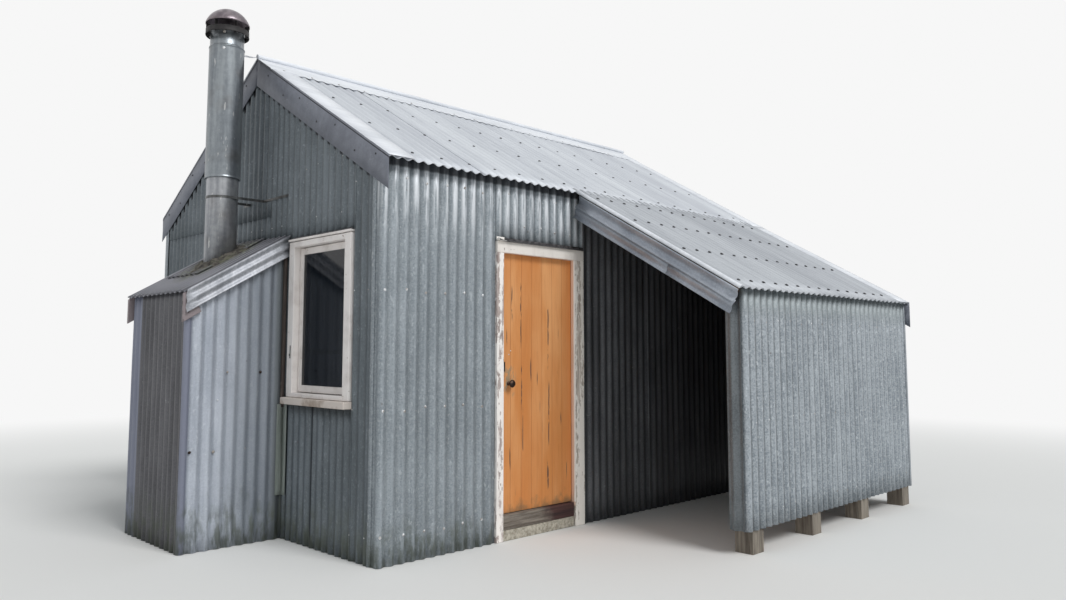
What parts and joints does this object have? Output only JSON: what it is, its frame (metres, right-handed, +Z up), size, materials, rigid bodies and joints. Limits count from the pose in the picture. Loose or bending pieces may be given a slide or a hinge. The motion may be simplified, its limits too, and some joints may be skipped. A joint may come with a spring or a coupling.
{
  "type": "backcountry hut",
  "caption": "Small gabled hut of corrugated iron on a timber frame, with a catslide woodshed, fireplace alcove, capped flue, boarded door and one window.",
  "frame": {"origin": "on the ground, under the middle of the hut's outline", "axes": "+X along the ridge, away from the flue; +Y towards the rear; +Z up; the door faces -Y"},
  "size_m": [4.959, 4.715, 3.668],
  "materials": {
    "wall_iron": "weathered galvanised, mottled blue-grey",
    "roof_iron": "pale galvanised with nail heads",
    "flashing_iron": "dull flat galvanised",
    "flue_iron": "dull galvanised, streaked",
    "frame_timber": "rough sawn, aged",
    "floor_timber": "worn boards",
    "pile_timber": "weathered grey",
    "white_timber": "flaking white paint on grey timber",
    "window_timber": "faded cream paint",
    "door_boards": "weathered orange paint, cracked",
    "sill_timber": "dark worn timber",
    "hardware": "dark worn metal",
    "glass": "old window glass, dark inside",
    "step_stone": "rough pale block"
  },
  "bodies": {
    "hut": {"piles": "pile_timber", "floor_frame": "frame_timber", "floor": "floor_timber", "hearth": "step_stone", "front_frame": "frame_timber", "rear_frame": "frame_timber", "near_gable_frame": "frame_timber", "far_gable_frame": "frame_timber", "roof_frame_front": "frame_timber", "roof_frame_rear": "frame_timber", "ridge_and_ties": "frame_timber", "front_wall_near": "wall_iron", "front_wall_over_door": "wall_iron", "front_wall_far": "wall_iron", "rear_wall": "wall_iron", "near_gable_wall": "wall_iron", "far_gable_wall": "wall_iron", "roof_front": "roof_iron", "roof_rear": "roof_iron", "ridge_cap": "roof_iron", "near_barges": "flashing_iron", "far_barges": "flashing_iron", "shed_roof": "roof_iron", "shed_roof_frame": "frame_timber", "shed_wall_frame": "frame_timber", "shed_end_frame": "frame_timber", "shed_walls": "wall_iron", "shed_barge": "flashing_iron", "alcove_frame": "frame_timber", "alcove_walls": "wall_iron", "alcove_roof": "roof_iron", "alcove_boards": "white_timber", "alcove_verges": "roof_iron", "door_jambs": "white_timber", "door_head": "white_timber", "door_sill": "sill_timber", "step_block": "step_stone", "hinge_flaps": "hardware", "window_frame": "window_timber", "window_sash": "window_timber", "window_glass": "glass", "window_sill": "window_timber", "head_flashings": "flashing_iron", "flue_pipe": "flue_iron", "flue_casing": "flue_iron", "flue_cap": "flue_iron", "flue_strap": "flue_iron", "flue_collar": "flue_iron"},
    "door": {"door_leaf": "door_boards", "door_knob": "hardware", "door_hinges": "hardware"}
  },
  "joints": [
    {"name": "door_hinge", "type": "hinge", "parent": "hut", "child": "door", "pos_m": [-0.1035, -0.8945, 1.03], "axis": [0, 0, -1], "range_deg": [0, 90]}
  ]
}
